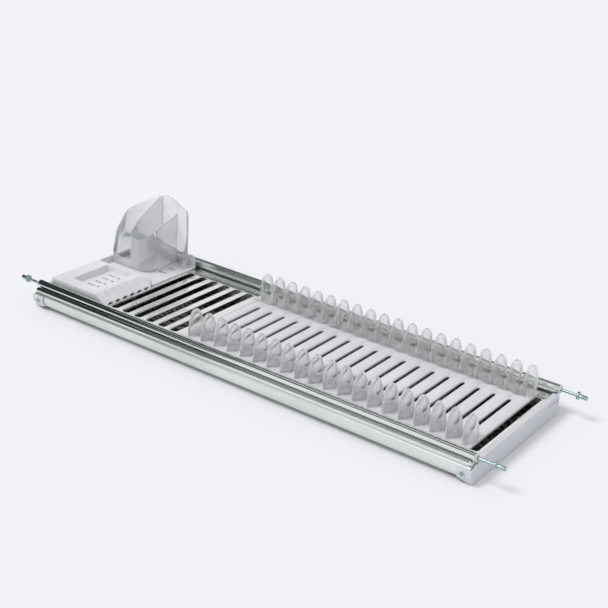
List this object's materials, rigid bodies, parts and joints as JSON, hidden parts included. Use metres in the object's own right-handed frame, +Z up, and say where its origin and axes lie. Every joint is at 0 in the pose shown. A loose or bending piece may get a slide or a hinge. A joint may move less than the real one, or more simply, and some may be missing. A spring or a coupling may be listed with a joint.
{
  "type": "cabinet dish drainer",
  "caption": "Dish drainer for a wall cabinet: two tubes with sprung end pins, a slotted deck, a sliding drip tray, a finned plate rack and a cutlery tray with a cup.",
  "frame": {"origin": "middle of the length and of the depth, at the level of the end panels' feet", "axes": "+X along the tubes to the right, +Y to the back, +Z up"},
  "size_m": [0.818, 0.2517, 0.1374],
  "materials": {
    "chrome": "bright chromed steel tube",
    "zinc": "bluish zinc-plated steel",
    "spring_steel": "plain spring wire",
    "aluminium": "satin anodised extrusion",
    "stainless": "bright rolled stainless sheet",
    "ridged_stainless": "pressed stainless sheet",
    "pale_plastic": "pale grey moulded plastic",
    "clear_plastic": "milky clear moulded plastic"
  },
  "bodies": {
    "frame": {"front_tube": "chrome", "rear_tube": "chrome", "lip_rod": "chrome", "front_profile": "aluminium", "rear_profile": "aluminium", "end_panel_left": "pale_plastic", "end_panel_right": "pale_plastic", "screw_front_left": "zinc", "screw_front_right": "zinc", "screw_rear_left": "zinc", "screw_rear_right": "zinc", "bush_front_left": "pale_plastic", "bush_front_right": "pale_plastic", "bush_rear_left": "pale_plastic", "bush_rear_right": "pale_plastic"},
    "deck": {"slotted_deck": "stainless"},
    "plate_rack": {"plate_rack": "clear_plastic"},
    "cutlery_tray": {"cutlery_tray": "clear_plastic"},
    "cutlery_cup": {"cutlery_cup": "clear_plastic"},
    "drip_tray": {"drip_tray": "ridged_stainless"},
    "pin_front_left": {"pin_front_left": "zinc", "spring_front_left": "spring_steel"},
    "pin_front_right": {"pin_front_right": "zinc", "spring_front_right": "spring_steel"},
    "pin_rear_left": {"pin_rear_left": "zinc", "spring_rear_left": "spring_steel"},
    "pin_rear_right": {"pin_rear_right": "zinc", "spring_rear_right": "spring_steel"}
  },
  "joints": [
    {"name": "pin_front_left_press", "type": "slide", "parent": "frame", "child": "pin_front_left", "axis": [1, 0, 0], "range_m": [0, 0.02], "stiffness_N_per_m": 600, "springref_m": -0.006},
    {"name": "pin_front_right_press", "type": "slide", "parent": "frame", "child": "pin_front_right", "axis": [-1, 0, 0], "range_m": [0, 0.02], "stiffness_N_per_m": 600, "springref_m": -0.006},
    {"name": "pin_rear_left_press", "type": "slide", "parent": "frame", "child": "pin_rear_left", "axis": [1, 0, 0], "range_m": [0, 0.02], "stiffness_N_per_m": 600, "springref_m": -0.006},
    {"name": "pin_rear_right_press", "type": "slide", "parent": "frame", "child": "pin_rear_right", "axis": [-1, 0, 0], "range_m": [0, 0.02], "stiffness_N_per_m": 600, "springref_m": -0.006},
    {"name": "drip_tray_pull", "type": "slide", "parent": "frame", "child": "drip_tray", "axis": [0, -1, 0], "range_m": [0, 0.18]},
    {"name": "deck_lift", "type": "slide", "parent": "frame", "child": "deck", "axis": [0, 0, 1], "range_m": [0, 0.12]},
    {"name": "plate_rack_lift", "type": "slide", "parent": "deck", "child": "plate_rack", "axis": [0, 0, 1], "range_m": [0, 0.15]},
    {"name": "cutlery_tray_lift", "type": "slide", "parent": "deck", "child": "cutlery_tray", "axis": [0, 0, 1], "range_m": [0, 0.15]},
    {"name": "cutlery_cup_lift", "type": "slide", "parent": "cutlery_tray", "child": "cutlery_cup", "axis": [0, 0, 1], "range_m": [0, 0.15]}
  ]
}
